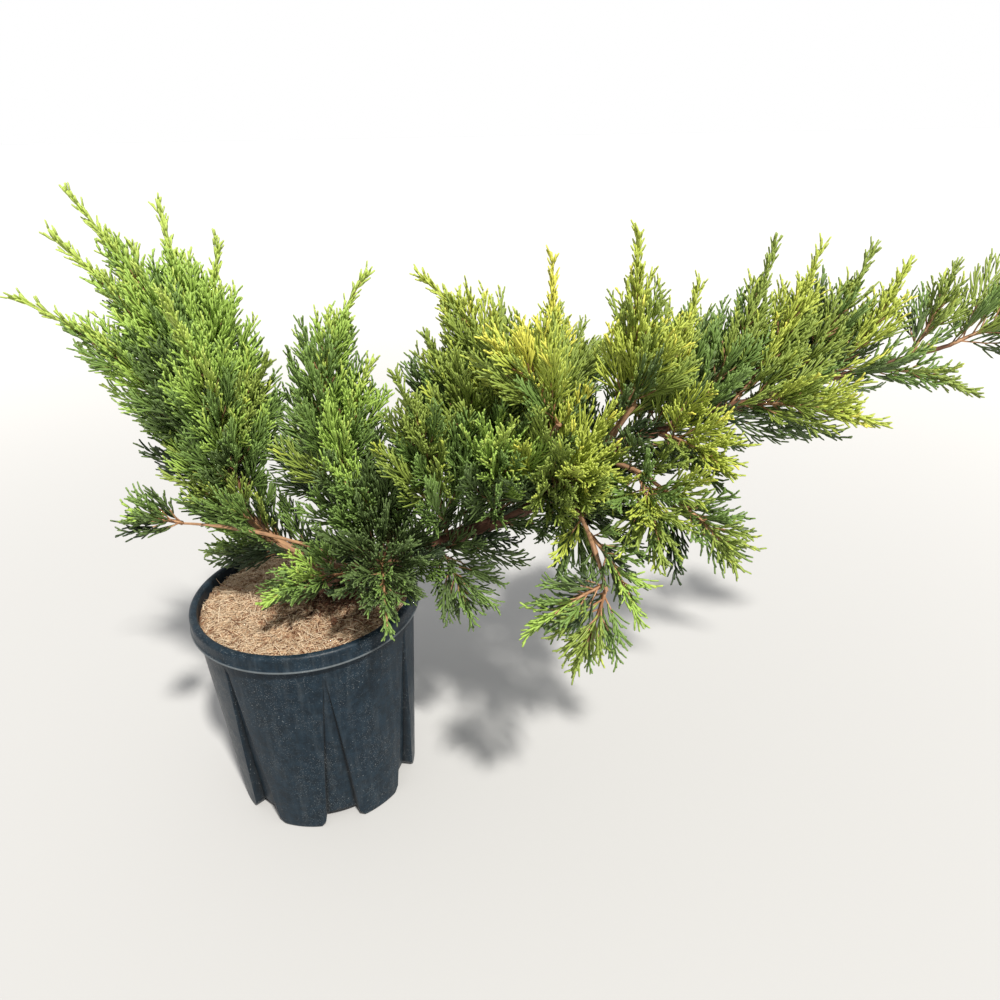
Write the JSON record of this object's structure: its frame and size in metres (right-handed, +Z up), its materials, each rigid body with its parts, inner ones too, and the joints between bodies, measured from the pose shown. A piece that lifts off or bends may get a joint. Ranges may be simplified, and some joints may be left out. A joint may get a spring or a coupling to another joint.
{
  "type": "spreading chinese juniper in a nursery pot",
  "caption": "Lopsided, wide-spreading juniper with upswept scale-leaf plumes along a leaning trunk, rooted in bark mulch in a round grooved nursery pot.",
  "frame": {"origin": "centre of the pot's flat underside, at the middle pad", "axes": "+Z up; +X the way the trunk leans out and the leader runs; +Y away from the side that the plant is shown from"},
  "size_m": [1.1504, 0.5119, 0.8035],
  "materials": {
    "pot_plastic": "semi-gloss moulded plastic, dusty and scuffed",
    "mulch": "dry fibrous bark mulch over potting bark",
    "bark": "peeling red-brown bark",
    "foliage": "waxy scale leaves"
  },
  "bodies": {
    "root": {"pot": "pot_plastic", "soil": "mulch", "trunk": "bark", "left_bough": "bark", "low_left_bough": "bark", "inner_bough": "bark", "upper_bough_1": "bark", "upper_bough_2": "bark", "upper_bough_3": "bark", "hanging_bough": "bark", "front_bough": "bark", "back_bough_1": "bark", "back_bough_2": "bark", "left_plume_1": "foliage", "left_plume_2": "foliage", "left_plume_3": "foliage", "left_plume_4": "foliage", "left_plume_5": "foliage", "left_plume_6": "foliage", "left_plume_7": "foliage", "left_plume_8": "foliage", "left_plume_9": "foliage", "left_spray": "foliage", "base_spray": "foliage", "low_left_spray": "foliage", "inner_plume_1": "foliage", "inner_plume_2": "foliage", "inner_spray": "foliage", "pot_spray_1": "foliage", "pot_spray_2": "foliage", "upper_plume_1": "foliage", "upper_plume_2": "foliage", "upper_plume_3": "foliage", "upper_plume_4": "foliage", "upper_plume_5": "foliage", "upper_plume_6": "foliage", "upper_plume_7": "foliage", "upper_plume_8": "foliage", "upper_plume_9": "foliage", "upper_plume_10": "foliage", "upper_plume_11": "foliage", "upper_plume_12": "foliage", "end_plume": "foliage", "end_spray": "foliage", "low_right_spray_1": "foliage", "low_right_spray_2": "foliage", "front_spray_1": "foliage", "front_spray_2": "foliage", "front_spray_3": "foliage", "front_spray_4": "foliage", "front_spray_5": "foliage", "hanging_spray_1": "foliage", "hanging_spray_2": "foliage", "hanging_spray_3": "foliage", "under_spray": "foliage", "back_plume_1": "foliage", "back_plume_2": "foliage", "back_plume_3": "foliage", "back_plume_4": "foliage", "back_plume_5": "foliage"}
  },
  "joints": []
}
